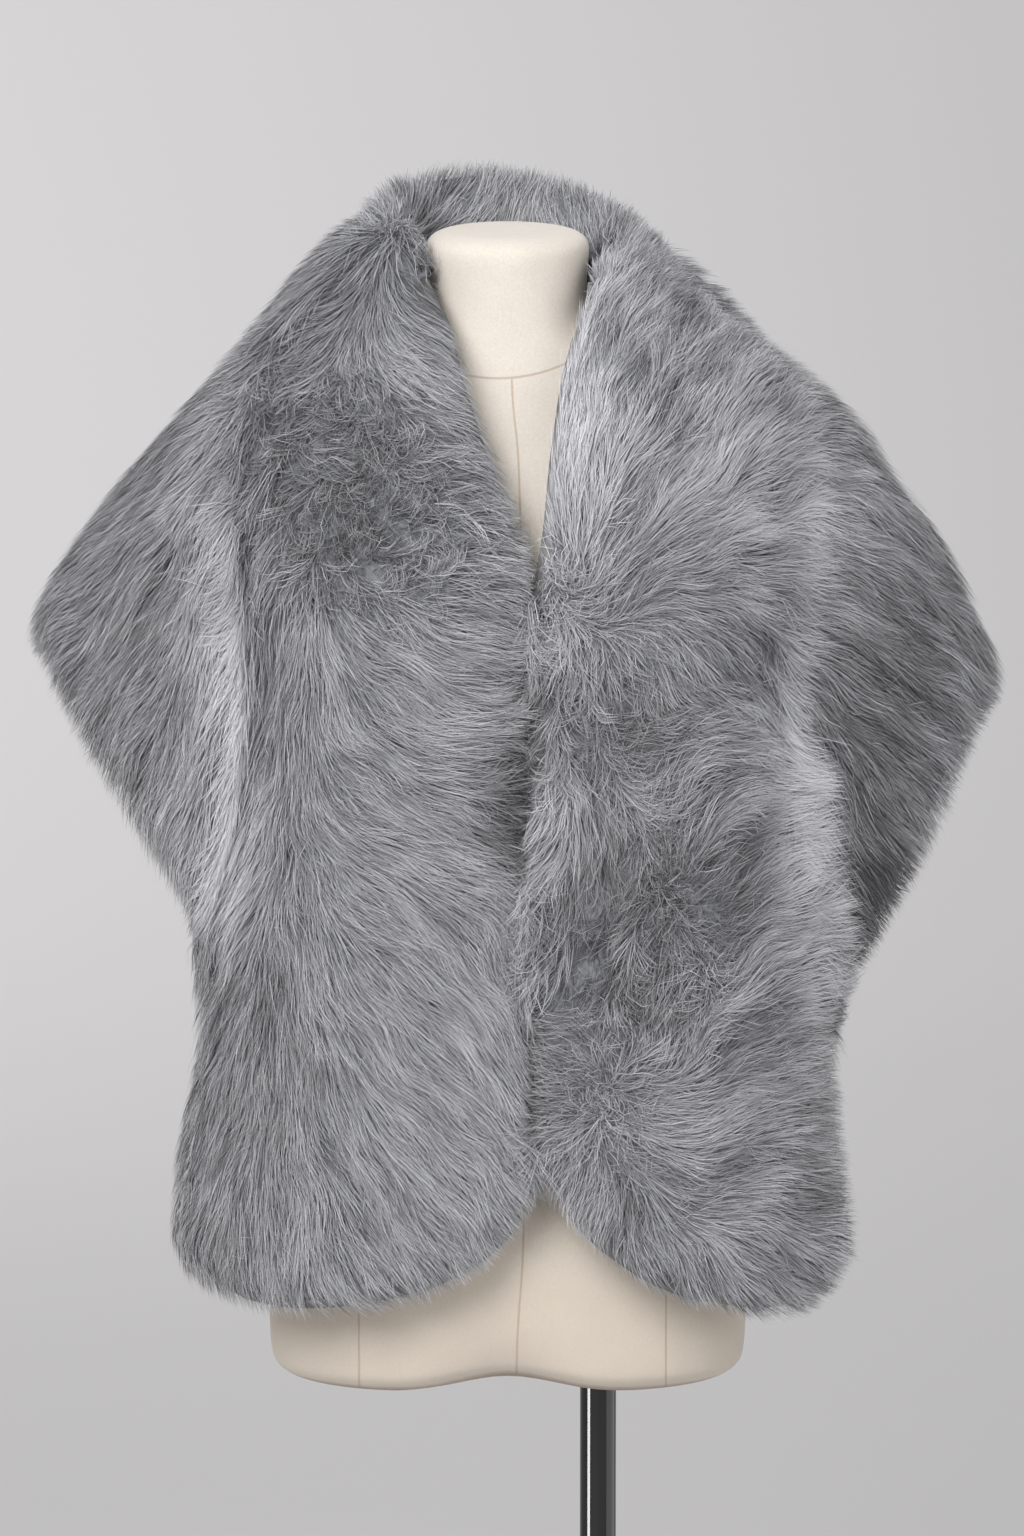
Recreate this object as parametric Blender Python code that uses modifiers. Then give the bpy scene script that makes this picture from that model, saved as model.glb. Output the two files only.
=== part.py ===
"""A fur collar wrap, worn by a limbless dress form on a stand.

The wrap is a shawl of long fur. A band runs up one front, round the back of the neck as a rolled
collar and down the other front. A cape hangs from the band's outer edge: over the shoulders it
stands out as two wings, and behind it falls to the middle of the back. The wall of each piece
reaches from the skin side of the pelt to the tips of its pile. The form faces -Y, and the sides
are the wearer's, so the right side is at -X. The origin is under the middle of the base.
"""

import bpy
import math
import numpy as np

MM = 0.001
SHARP = math.radians(35)  # edges bent further than this are shaded sharp
SEAM = 0.3 * MM  # between sewn pieces, and under what rests on something
CUT_SEAM = 0.6 * MM  # at the seams across the collar and the cape, where the wall twists

# Stand
BASE_RADIUS = 170 * MM
BASE_THICK = 10 * MM
BASE_BEVEL = 3 * MM
BASE_SIDES = 72
POLE_RADIUS = 12.8 * MM
POLE_SIDES = 40

# Dress form
FORM_X = -64 * MM  # the pole stands under the form's left side
FORM_BOTTOM = 728 * MM
FORM_SIDES = 40
FORM_LEVELS = 36
NECK_TILT = math.tan(math.radians(7.5))
TILT_FROM, TILT_FULL = 1430 * MM, 1500 * MM
GROIN_RISE = 13 * MM
GROIN_WIDTH = 42 * MM
GROIN_DEEP = 0.17  # share of the depth taken from the middle of the front at the lower edge
GROIN_FADE = 60 * MM

# Fur wall
PILE = 30 * MM
HAIR_SIDE = 0.6  # share of the wall outside the surface that the rows below describe
RIM_ROUND = 30 * MM
RIM_LEAST = 0.16
SEAM_LEAN = 45 * MM
REST_GAP = 1.2 * MM  # least distance asked for between the skin side and the form

# Shape of the band and the cape. Rows are counted up from each hem of the band.
HEM_DROP = 71 * MM
HEM_ROUND = 2.3  # squareness of the round hem of each front
HEM_ROWS = 1.5  # rows over which the hem's drop fades out
VALLEY = 0.72  # share of the wall left in the valley beside each rolled front edge
VALLEY_TOP, VALLEY_FADE = 4.5, 3.0  # the row up to which the valley is full, and the rows of its end
ROLL_LEAN = 0.75  # under 1 the collar's top is nearer the neck
ROLL_FULL = 0.7  # under 1 the collar's roll is fuller than a half circle
COLLAR_REACH = 120 * MM  # below the collar's seam the cape thickens to the full wall
CAPE_ROW = 2  # the first row that carries the cape
COLLAR_ROW = 10  # where each front ends and the collar begins
BACK_ROW = 11.3  # where each wing ends and the back begins
ROW_STEPS = (3, 3, 3, 3, 3, 3, 3, 3, 3, 3, 5, 7)  # from the second row up to the nape
HEM_STEPS = (0.0, 0.05, 0.14, 0.3, 0.52, 0.76)  # places within the first row
BAND_COLUMNS = 13
CAPE_COLUMNS = 12
FALL_STEPS = 60
NORMAL_PASSES = 3

# Levels of the form in millimetres: height, half width, depth in front, depth behind, squareness.
FORM_ROWS = (
    (728, 140, 74, 80, 2.3),
    (731, 155, 88, 94, 2.3),
    (739, 165, 98, 104, 2.3),
    (754, 169, 102, 108, 2.3),
    (820, 168, 103, 110, 2.3),
    (900, 158, 98, 102, 2.3),
    (960, 137, 90, 86, 2.2),
    (1015, 119, 84, 76, 2.2),
    (1070, 124, 90, 78, 2.2),
    (1130, 136, 108, 86, 2.3),
    (1185, 142, 121, 94, 2.4),
    (1240, 147, 115, 102, 2.4),
    (1300, 153, 99, 107, 2.4),
    (1355, 162, 82, 106, 2.4),
    (1395, 169, 67, 99, 2.3),
    (1415, 168, 61, 93, 2.2),
    (1432, 148, 57, 85, 2.1),
    (1446, 112, 54, 75, 2.0),
    (1459, 76, 52, 66, 2.0),
    (1474, 57, 51, 59, 2.0),
    (1500, 55, 51, 58, 2.0),
    (1518, 57, 53, 60, 2.0),
    (1526, 56, 52, 59, 2.0),
    (1531, 51, 47, 54, 2.0),
    (1533, 42, 38, 45, 2.0),
)

# Rows across the band in millimetres, from the hem of a front to the side of the neck.
# inner x, y, z: the free edge, at the centre front, the neckline and inside the collar.
# outer x, y, z: the other edge, free at the hem and sewn to the cape from the third row on.
# roll: how late the row turns back towards its outer edge. crown: its bulge forwards.
# rise: its height as a rolled collar. wall: its share of the pile's full wall.
# x is measured outwards from the form's middle.
BAND_RIGHT = (
    (-18, -122, 884, 233, -74, 850, 4.0, 14, 0, 1.0),
    (-15, -126, 950, 216, -76, 950, 5.0, 15, 0, 1.0),
    (-11, -130, 1044, 201, -78, 1044, 6.0, 16, 0, 1.0),
    (-10, -133, 1130, 176, -84, 1130, 6.0, 16, 0, 1.0),
    (-12, -134, 1210, 168, -88, 1210, 6.0, 15, 0, 1.0),
    (-14, -124, 1297, 172, -88, 1296, 4.5, 18, 0, 1.0),
    (-3, -110, 1345, 180, -78, 1366, 3.0, 20, 0, 1.0),
    (11, -100, 1379, 174, -56, 1418, 2.0, 18, 2, 1.0),
    (22, -89, 1412, 152, -36, 1456, 1.6, 15, 4, 0.95),
    (36, -73, 1452, 122, -22, 1488, 1.3, 10, 8, 0.9),
    (61, -34, 1499, 103, -10, 1511, 1.0, 3, 15, 0.76),
    (71, 8, 1506, 94, 34, 1530, 1.0, 0, 26, 0.72),
    (62, 58, 1509, 80, 80, 1532, 1.0, 0, 37, 0.7),
)
BAND_LEFT = (
    (24, -122, 910, 233, -74, 838, 4.0, 14, 0, 1.0),
    (18, -126, 960, 223, -76, 926, 5.0, 15, 0, 1.0),
    (13, -130, 1030, 213, -78, 988, 6.0, 16, 0, 1.0),
    (12, -133, 1110, 193, -84, 1070, 6.0, 16, 0, 1.0),
    (14, -134, 1200, 180, -88, 1165, 6.0, 15, 0, 1.0),
    (17, -124, 1290, 174, -88, 1252, 4.5, 18, 0, 1.0),
    (23, -113, 1332, 178, -78, 1334, 3.0, 20, 0, 1.0),
    (27, -100, 1375, 180, -54, 1402, 2.0, 18, 2, 1.0),
    (32, -87, 1410, 164, -34, 1434, 1.6, 15, 4, 0.97),
    (40, -71, 1450, 133, -20, 1459, 1.3, 10, 6, 0.92),
    (63, -30, 1494, 110, -9, 1479, 1.0, 3, 11, 0.76),
    (72, 8, 1498, 98, 36, 1508, 1.0, 0, 16, 0.72),
    (62, 58, 1503, 80, 80, 1524, 1.0, 0, 26, 0.7),
)
BAND_NAPE = (0, 77, 1510, 0, 108, 1536, 1.0, 0, 42, 0.7)
LAST_ROW = len(BAND_RIGHT) + len(BAND_LEFT)

# The cape's hem in millimetres, one row for each band row from CAPE_ROW on: hem x, y, z, and
# fullness, which is 1 for a straight fall and grows as the fall first runs out and then drops.
CAPE_RIGHT = (
    (211, -73, 1057, 1.5),
    (238, -60, 1096, 1.6),
    (265, -50, 1138, 1.6),
    (288, -40, 1172, 1.5),
    (306, -30, 1204, 1.35),
    (318, -16, 1229, 1.2),
    (322, 2, 1241, 1.15),
    (316, 22, 1221, 1.2),
    (300, 42, 1188, 1.3),
    (262, 72, 1128, 1.5),
    (182, 104, 1044, 2.0),
)
CAPE_LEFT = (
    (224, -72, 1002, 1.5),
    (246, -60, 1034, 1.6),
    (274, -52, 1079, 1.6),
    (296, -42, 1122, 1.6),
    (312, -30, 1158, 1.5),
    (323, -16, 1187, 1.42),
    (328, 2, 1200, 1.4),
    (322, 22, 1182, 1.42),
    (302, 42, 1150, 1.5),
    (264, 72, 1096, 1.6),
    (182, 104, 1024, 2.0),
)
CAPE_NAPE = (0, 120, 996, 2.3)

# Large folds in the pile: place along and across the piece from 0 to 1, half length and half
# width as shares of it, and height in millimetres, below 0 where the pile parts.
BAND_FOLDS = (
    (0.13, 0.62, 0.10, 0.10, -7),
    (0.13, 0.40, 0.12, 0.12, 4),
    (0.27, 0.40, 0.05, 0.30, -6),
    (0.33, 0.55, 0.04, 0.20, 5),
    (0.38, 0.65, 0.03, 0.30, -5),
    (0.66, 0.62, 0.03, 0.30, -5),
    (0.72, 0.45, 0.03, 0.40, -8),
    (0.75, 0.60, 0.03, 0.40, 6),
    (0.86, 0.42, 0.07, 0.14, -8),
    (0.93, 0.30, 0.04, 0.16, -6),
)
CAPE_FOLDS = (
    (0.16, 0.55, 0.04, 0.60, -6),
    (0.23, 0.70, 0.03, 0.50, 5),
    (0.77, 0.70, 0.03, 0.50, 5),
    (0.84, 0.55, 0.04, 0.60, -8),
)


def clear_scene():
    for thing in list(bpy.data.objects):
        bpy.data.objects.remove(thing, do_unlink=True)


def material(name, colour, roughness, metallic=0.0):
    made = bpy.data.materials.new(name)
    made.use_nodes = True
    shader = made.node_tree.nodes["Principled BSDF"]
    shader.inputs["Base Color"].default_value = (*colour, 1.0)
    shader.inputs["Roughness"].default_value = roughness
    shader.inputs["Metallic"].default_value = metallic
    return made


def add_piece(name, vertices, faces, finish, collection):
    """A mesh given in coordinates from the form's middle, placed over the stand."""
    mesh = bpy.data.meshes.new(name)
    mesh.from_pydata(vertices.tolist(), [], faces)
    mesh.materials.append(finish)
    mesh.shade_smooth()
    mesh.set_sharp_from_angle(angle=SHARP)
    piece = bpy.data.objects.new(name, mesh)
    piece.location.x = FORM_X
    collection.objects.link(piece)


def smooth_table(table, at):
    """The table's columns read at fractional rows, by cubic curves through the rows."""
    rows = np.asarray(table, float)
    low = np.clip(np.floor(at).astype(int), 0, len(rows) - 2)
    part = (at - low)[:, None]
    slope = np.gradient(rows, axis=0)
    a, b = rows[low], rows[low + 1]
    da, db = slope[low], slope[low + 1]
    cubic = 2 * a - 2 * b + da + db
    square = 3 * b - 3 * a - 2 * da - db
    return a + part * (da + part * (square + part * cubic))


def ease(x):
    """0 below 0, 1 above 1 and a smooth rise between."""
    x = np.clip(x, 0, 1)
    return x * x * (3 - 2 * x)


def form_section(z):
    """Half width, front depth, rear depth and squareness of the form at heights z."""
    rows = np.array(FORM_ROWS, float)
    at = np.interp(z, rows[:, 0] * MM, np.arange(len(rows)))
    section = smooth_table(FORM_ROWS, np.ravel(at)).reshape(np.shape(z) + (5,))
    return section[..., 1] * MM, section[..., 2] * MM, section[..., 3] * MM, section[..., 4]


def form_fill(points):
    """1 on the form's surface, less inside it and more outside it."""
    x, y, z = points[..., 0], points[..., 1], points[..., 2]
    upright = z - y * NECK_TILT * ease((z - TILT_FROM) / (TILT_FULL - TILT_FROM))
    width, front, back, power = form_section(upright)
    depth = np.where(y < 0, front, back)
    return ((np.abs(x) / width) ** power + (np.abs(y) / depth) ** power) ** (1 / power)


def form_distance(points):
    """About how far each point is outside the form, from form_fill and its slope."""
    step = 0.5 * MM
    fill = form_fill(points)
    slope = [(form_fill(points + step * axis) - fill) / step for axis in np.eye(3)]
    return (fill - 1) / np.linalg.norm(slope, axis=0)


def ring_faces(rings, sides):
    """Quads between neighbouring rings, and a fan at each end to a middle point kept last."""
    faces = []
    below = rings * sides
    above = below + 1
    last = (rings - 1) * sides
    for side in range(sides):
        after = (side + 1) % sides
        faces += [(a + side, a + after, a + after + sides, a + side + sides) for a in range(0, last, sides)]
        faces.append((after, side, below))
        faces.append((last + side, last + after, above))
    return faces


def make_form(finish, collection):
    """The form: level sections stacked up, with a groin at the lower edge and a tilted neck."""
    rows = np.array(FORM_ROWS, float)
    index = np.linspace(0, len(rows) - 1, FORM_LEVELS)
    heights = smooth_table(FORM_ROWS, index)[:, 0] * MM
    width, front, back, power = form_section(heights)
    turn = np.linspace(0, 2 * math.pi, FORM_SIDES, endpoint=False)
    cos, sin = np.cos(turn), np.sin(turn)
    bend = (2 / power)[:, None]
    x = width[:, None] * np.sign(cos) * np.abs(cos) ** bend
    depth = np.where(sin < 0, front[:, None], back[:, None])
    y = depth * np.sign(sin) * np.abs(sin) ** bend
    z = np.repeat(heights[:, None], FORM_SIDES, axis=1)
    low = 1 - ease((z - FORM_BOTTOM) / GROIN_FADE)
    middle = np.exp(-((x / GROIN_WIDTH) ** 2)) * low
    y *= 1 - GROIN_DEEP * middle
    z += GROIN_RISE * middle
    z += y * NECK_TILT * ease((z - TILT_FROM) / (TILT_FULL - TILT_FROM))
    rings = np.stack([x, y, z], axis=-1)
    middles = np.array([(0, 0, FORM_BOTTOM), rings[-1].mean(axis=0)])
    points = np.concatenate([rings.reshape(-1, 3), middles])
    add_piece("dress_form", points, ring_faces(len(heights), FORM_SIDES), finish, collection)


def make_stand(finish, collection):
    """A round plate with a softened rim, and the pole between it and the form."""
    bpy.ops.mesh.primitive_cylinder_add(
        vertices=BASE_SIDES, radius=BASE_RADIUS, depth=BASE_THICK, location=(0, 0, BASE_THICK / 2)
    )
    base = bpy.context.object
    base.name = "base_plate"
    softened = base.modifiers.new("softened rim", "BEVEL")
    softened.width = BASE_BEVEL
    softened.segments = 2
    softened.limit_method = "ANGLE"
    foot = BASE_THICK + SEAM
    top = FORM_BOTTOM - SEAM
    bpy.ops.mesh.primitive_cylinder_add(
        vertices=POLE_SIDES, radius=POLE_RADIUS, depth=top - foot, location=(0, 0, (top + foot) / 2)
    )
    pole = bpy.context.object
    pole.name = "pole"
    for piece in (base, pole):
        piece.data.materials.append(finish)
        piece.data.shade_smooth()
        piece.data.set_sharp_from_angle(angle=SHARP)
        for home in list(piece.users_collection):
            home.objects.unlink(piece)
        collection.objects.link(piece)


def both_sides(right, nape, left, x_columns):
    """One table from the right hem over the nape to the left hem, with x signed."""
    turned = np.array(right, float)
    turned[:, x_columns] *= -1
    return np.concatenate([turned, [nape], np.array(left, float)[::-1]])


def row_places():
    """Fractional rows at which the band is built, closer together at its two hems."""
    side = list(HEM_STEPS)
    for row, steps in enumerate(ROW_STEPS, start=1):
        side += [row + step / steps for step in range(steps)]
    side = np.array(side)
    return np.concatenate([side, [LAST_ROW / 2], LAST_ROW - side[::-1]])


def rows_up(at):
    """Rows above the nearer hem of the band."""
    return np.minimum(at, LAST_ROW - at)


def band_surface(at, table):
    """Points of the band: each row runs from its inner to its outer edge, with its own profile."""
    inner = table[:, None, 0:3] * MM
    outer = table[:, None, 3:6] * MM
    roll, crown, rise = (table[:, None, column] for column in (6, 7, 8))
    across = 0.5 - 0.5 * np.cos(np.linspace(0, math.pi, BAND_COLUMNS))
    t = np.repeat(across[None, :], len(at), axis=0)
    points = inner + (outer - inner) * t[..., None]
    swing = outer[..., 1] - inner[..., 1]
    points[..., 1] = inner[..., 1] + swing * t ** np.maximum(roll, 1)
    points[..., 1] -= crown * MM * np.sin(math.pi * t)
    points[..., 2] += rise * MM * np.sin(math.pi * t**ROLL_LEAN) ** ROLL_FULL
    hem = np.clip(1 - rows_up(at) / HEM_ROWS, 0, 1)[:, None] ** HEM_ROWS
    points[..., 2] -= HEM_DROP * hem * (1 - np.abs(2 * t - 1) ** HEM_ROUND) ** (1 / HEM_ROUND)
    return points


def cape_surface(edge, at):
    """Points of the cape: it falls from the band's outer edge to the hem over a rounded corner."""
    table = smooth_table(both_sides(CAPE_RIGHT, CAPE_NAPE, CAPE_LEFT, [0]), at - CAPE_ROW)
    hem = table[:, None, 0:3] * MM
    bend = 2 / np.maximum(table[:, None, 3], 1)
    turn = np.linspace(0, math.pi / 2, FALL_STEPS)[None, :]
    out = np.sin(turn) ** bend
    drop = 1 - np.cos(turn) ** bend
    start = edge[:, None, :]
    fall = start + (hem - start) * np.stack([out, out, drop], axis=-1)
    length = distance_along(fall, 1)
    spread = np.sin(np.linspace(0, math.pi / 2, CAPE_COLUMNS))
    points = np.empty((len(at), CAPE_COLUMNS, 3))
    for row in range(len(at)):
        wanted = spread * length[row, -1]
        for axis in range(3):
            points[row, :, axis] = np.interp(wanted, length[row], fall[row, :, axis])
    return points


def outward(points):
    """Unit directions out of a surface, away from its skin side, evened out over neighbours."""
    along = np.gradient(points, axis=0)
    across = np.gradient(points, axis=1)
    normal = np.cross(along, across)
    for _ in range(NORMAL_PASSES):
        normal /= np.linalg.norm(normal, axis=-1, keepdims=True)
        wide = np.pad(normal, ((0, 0), (1, 1), (0, 0)), mode="edge")
        normal = wide[:, :-2] + 2 * normal + wide[:, 2:]
    return normal / np.linalg.norm(normal, axis=-1, keepdims=True)


def leaned(normal, points, edge_normal):
    """Directions turned near a grid's first column, so that they meet the seam's own there."""
    near = 1 - ease(distance_along(points, 1) / SEAM_LEAN)[..., None]
    turned = normal + (edge_normal[:, None] - normal[:, :1]) * near
    return turned / np.linalg.norm(turned, axis=-1, keepdims=True)


def distance_along(points, axis):
    """Distance of each point from the first edge of the grid along one axis."""
    step = np.linalg.norm(np.diff(points, axis=axis), axis=-1)
    start = np.zeros_like(np.take(step, [0], axis=axis))
    return np.concatenate([start, np.cumsum(step, axis=axis)], axis=axis)


def rim(distance):
    """Share of the wall that is left near a free edge, which is rounded."""
    near = 1 - np.clip(distance / RIM_ROUND, 0, 1)
    return RIM_LEAST + (1 - RIM_LEAST) * np.sqrt(1 - near**2)


def fold_relief(shape, folds):
    """Height of the large folds over a grid."""
    along = np.linspace(0, 1, shape[0])[:, None]
    across = np.linspace(0, 1, shape[1])[None, :]
    total = np.zeros(shape)
    for place, side, length, width, height in folds:
        far = ((along - place) / length) ** 2 + ((across - side) / width) ** 2
        total += height * MM * np.exp(-far)
    return total


def lift_clear(points, normal, wall):
    """Moves points out along their normals until the skin side clears the form."""
    lifted = points.copy()
    for _ in range(40):
        skin = lifted - normal * (wall * (1 - HAIR_SIDE))[..., None]
        short = np.clip(REST_GAP - form_distance(skin), 0, 2 * MM)
        lifted += normal * short[..., None]
    return lifted


def wall_faces(rows, columns):
    """Quads of the outer grid, of the inner grid and of the four rims between them.

    Each rim is split from the earlier outer point to the later inner point, so that two walls
    that share an edge of the surface have parallel rims.
    """
    faces = []
    inside = rows * columns
    for i in range(rows - 1):
        for j in range(columns - 1):
            a = i * columns + j
            quad = (a, a + columns, a + columns + 1, a + 1)
            faces.append(quad)
            faces.append(tuple(inside + k for k in reversed(quad)))
    top = list(range(columns))
    far = [i * columns + columns - 1 for i in range(1, rows)]
    end = [(rows - 1) * columns + j for j in range(columns - 2, -1, -1)]
    near = [i * columns for i in range(rows - 2, 0, -1)]
    loop = top + far + end + near
    for a, b in zip(loop, loop[1:] + loop[:1]):
        if a < b:
            faces.append((a, b, inside + b))
            faces.append((a, inside + b, inside + a))
        else:
            faces.append((a, b, inside + a))
            faces.append((b, inside + b, inside + a))
    return faces


def across_line(line, normal, beside):
    """Unit directions in a surface, square to a line of it and on the side of the line beside."""
    across = np.cross(normal, np.gradient(line, axis=0))
    across /= np.linalg.norm(across, axis=-1, keepdims=True)
    return across * np.sign(((beside - line) * across).sum(axis=-1, keepdims=True))


def add_wall(name, grid, low, high, sewn_column, finish, collection):
    """The part of a wall between two rows, each drawn in from its seam unless it is a hem."""
    points, normal, hair, skin = grid
    cut = points[low : high + 1].copy()
    for row, edge, beside in ((low, 0, low + 1), (high, -1, high - 1)):
        if 0 < row < len(points) - 1:
            away = across_line(points[row], normal[row], points[beside])
            along = points[beside, sewn_column] - points[row, sewn_column]
            away[sewn_column] = along / (along @ away[sewn_column])
            cut[edge] += away * CUT_SEAM / 2
    part = slice(low, high + 1)
    outer = cut + normal[part] * hair[part, :, None]
    inner = cut - normal[part] * skin[part, :, None]
    vertices = np.concatenate([outer.reshape(-1, 3), inner.reshape(-1, 3)])
    add_piece(name, vertices, wall_faces(*cut.shape[:2]), finish, collection)


def make_wrap(finish, collection):
    """The six fur pieces, cut from a grid for the band and one for the cape sewn along its edge."""
    at = row_places()
    table = smooth_table(both_sides(BAND_RIGHT, BAND_NAPE, BAND_LEFT, [0, 3]), at)
    band = band_surface(at, table)
    carries = np.flatnonzero((at > CAPE_ROW - 0.01) & (at < LAST_ROW - CAPE_ROW + 0.01))
    cape_at = at[carries]
    cape = cape_surface(band[carries, -1], cape_at)

    band_out = outward(band)
    cape_out = outward(cape)
    shared = band_out[carries, -1] + cape_out[:, 0]
    shared /= np.linalg.norm(shared, axis=-1, keepdims=True)
    band_out[carries] = leaned(band_out[carries, ::-1], band[carries, ::-1], shared)[:, ::-1]
    cape_out = leaned(cape_out, cape, shared)

    share = table[:, 9:10]
    valley = VALLEY + (1 - VALLEY) * ease((rows_up(at) - VALLEY_TOP) / VALLEY_FADE)[:, None]
    sewn = ease((rows_up(at) - CAPE_ROW + HEM_ROWS / 2) / (HEM_ROWS / 2))[:, None]
    across = distance_along(band, 1)
    along = distance_along(band, 0)
    to_seam = across[:, -1:] - across
    seam_side = valley + (1 - valley) * ease(to_seam / RIM_ROUND)
    band_wall = PILE * share * rim(across) * rim(along) * rim(along[-1:] - along)
    band_wall *= rim(to_seam) * (1 - sewn) + seam_side * sewn

    fall = distance_along(cape, 1)
    thin = share[carries]
    near_seam = valley[carries] + (1 - valley[carries]) * ease(fall / RIM_ROUND)
    near_seam *= thin + (1 - thin) * ease(fall / COLLAR_REACH)
    cape_wall = PILE * near_seam * rim(fall[:, -1:] - fall)
    cape_wall[:, 0] = band_wall[carries, -1]

    band = lift_clear(band, band_out, band_wall)
    cape = lift_clear(cape, cape_out, cape_wall)
    band_hair = band_wall * (HAIR_SIDE + fold_relief(band_wall.shape, BAND_FOLDS) / PILE)
    cape_hair = cape_wall * (HAIR_SIDE + fold_relief(cape_wall.shape, CAPE_FOLDS) / PILE)
    band_hair[carries, -1] = band_wall[carries, -1] * HAIR_SIDE
    cape_hair[:, 0] = cape_wall[:, 0] * HAIR_SIDE

    away = across_line(cape[:, 0], shared, cape[:, 1]) * SEAM / 2
    cape[:, 0] += away
    band[carries, -1] -= away

    band_grid = (band, band_out, band_hair, band_wall * (1 - HAIR_SIDE))
    cape_grid = (cape, cape_out, cape_hair, cape_wall * (1 - HAIR_SIDE))
    collar = [int(np.argmin(np.abs(at - row))) for row in (COLLAR_ROW, LAST_ROW - COLLAR_ROW)]
    back = [int(np.argmin(np.abs(cape_at - row))) for row in (BACK_ROW, LAST_ROW - BACK_ROW)]
    for name, grid, low, high, sewn_column in (
        ("front_right", band_grid, 0, collar[0], -1),
        ("collar", band_grid, collar[0], collar[1], -1),
        ("front_left", band_grid, collar[1], len(at) - 1, -1),
        ("wing_right", cape_grid, 0, back[0], 0),
        ("back", cape_grid, back[0], back[1], 0),
        ("wing_left", cape_grid, back[1], len(cape_at) - 1, 0),
    ):
        add_wall(name, grid, low, high, sewn_column, finish, collection)


clear_scene()
parts = bpy.data.collections.new("fur_collar_wrap")
bpy.context.scene.collection.children.link(parts)
fur = material("blue grey fur", (0.26, 0.27, 0.29), 0.9)
cloth = material("cream form cloth", (0.80, 0.74, 0.66), 0.85)
lacquer = material("black lacquered steel", (0.01, 0.01, 0.012), 0.15)
make_stand(lacquer, parts)
make_form(cloth, parts)
make_wrap(fur, parts)
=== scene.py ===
"""The looks of a fur collar wrap, worn by a limbless dress form on a stand.

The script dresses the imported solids: a smooth cloth cover for the form, lacquer for the stand, a
pelt and its long hair for each piece of the wrap, and then the studio. Lengths are in metres. The
form faces -Y, and the sides are the wearer's, so the right side is at -X.
"""

import math

import bmesh
import bpy
import numpy as np
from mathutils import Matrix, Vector
from mathutils.bvhtree import BVHTree
from mathutils.kdtree import KDTree


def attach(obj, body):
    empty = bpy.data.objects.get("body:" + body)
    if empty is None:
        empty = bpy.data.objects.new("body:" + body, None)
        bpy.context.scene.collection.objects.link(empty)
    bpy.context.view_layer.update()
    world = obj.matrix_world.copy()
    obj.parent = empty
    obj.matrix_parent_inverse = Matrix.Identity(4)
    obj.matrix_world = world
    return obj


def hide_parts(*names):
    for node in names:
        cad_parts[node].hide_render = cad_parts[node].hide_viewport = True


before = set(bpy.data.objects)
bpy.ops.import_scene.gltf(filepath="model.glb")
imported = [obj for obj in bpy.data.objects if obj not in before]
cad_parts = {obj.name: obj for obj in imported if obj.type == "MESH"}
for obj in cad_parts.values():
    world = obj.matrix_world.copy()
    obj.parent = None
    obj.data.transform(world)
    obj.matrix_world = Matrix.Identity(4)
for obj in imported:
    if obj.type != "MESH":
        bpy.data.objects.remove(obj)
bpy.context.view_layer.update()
MM = 0.001

# ---------------------------------------------------------------------------------------------
# Dress form. A padded papier-mache body covered in cream brushed cotton, drawn tight and sewn
# together along the middle of the front, round the neck and down two panels at each side.
# ---------------------------------------------------------------------------------------------

FORM_MIDDLE = -64 * MM
FORM_DETAIL = 2
MERGE = 0.02 * MM  # points nearer than this are one
JOINABLE = math.radians(60)  # a pair of triangles flatter than this is one face


def linear(hex_colour):
    """An sRGB hex colour as linear red, green, blue and alpha."""
    channels = [int(hex_colour[k : k + 2], 16) / 255 for k in (1, 3, 5)]
    curve = [c / 12.92 if c <= 0.04045 else ((c + 0.055) / 1.055) ** 2.4 for c in channels]
    return (*curve, 1.0)


def add_node(tree, kind, settings=None, **links):
    """A node with its settings. Each input takes a value, or the output socket that feeds it."""
    made = tree.nodes.new(kind)
    for name, value in (settings or {}).items():
        setattr(made, name, value)
    for name, value in links.items():
        key = int(name[1:]) if name[0] == "_" else name.replace("_", " ")
        if isinstance(value, bpy.types.NodeSocket):
            tree.links.new(value, made.inputs[key])
        else:
            made.inputs[key].default_value = value
    return made


def new_material(name):
    """An empty material with its output node, and its tree."""
    made = bpy.data.materials.new(name)
    made.use_nodes = True
    made.node_tree.nodes.clear()
    return made, made.node_tree


def smooth_copy(node, detail, sharp=math.pi):
    """A CAD node's mesh with doubles merged, its flat pairs of triangles joined and subdivided.

    Edges that turn by more than the sharp angle stay sharp.
    """
    shape = bmesh.new()
    shape.from_mesh(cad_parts[node].data)
    bmesh.ops.remove_doubles(shape, verts=shape.verts, dist=MERGE)
    bmesh.ops.join_triangles(
        shape,
        faces=shape.faces,
        angle_face_threshold=JOINABLE,
        angle_shape_threshold=math.pi,
    )
    crease = shape.edges.layers.float.new("crease_edge")
    for edge in shape.edges:
        edge[crease] = float(edge.calc_face_angle(0) > sharp)
    mesh = bpy.data.meshes.new(node)
    shape.to_mesh(mesh)
    shape.free()
    cage = bpy.data.objects.new(node, mesh)
    bpy.context.scene.collection.objects.link(cage)
    rounded = cage.modifiers.new("rounded", "SUBSURF")
    rounded.levels = rounded.render_levels = detail
    graph = bpy.context.evaluated_depsgraph_get()
    fine = bpy.data.meshes.new_from_object(cage.evaluated_get(graph))
    bpy.data.objects.remove(cage)
    bpy.data.meshes.remove(mesh)
    return fine


def shown(name, mesh, finish):
    """An object of this mesh in one finish, shaded smooth."""
    mesh.materials.clear()
    mesh.materials.append(finish)
    mesh.shade_smooth()
    made = bpy.data.objects.new(name, mesh)
    bpy.context.scene.collection.objects.link(made)
    return made


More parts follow.
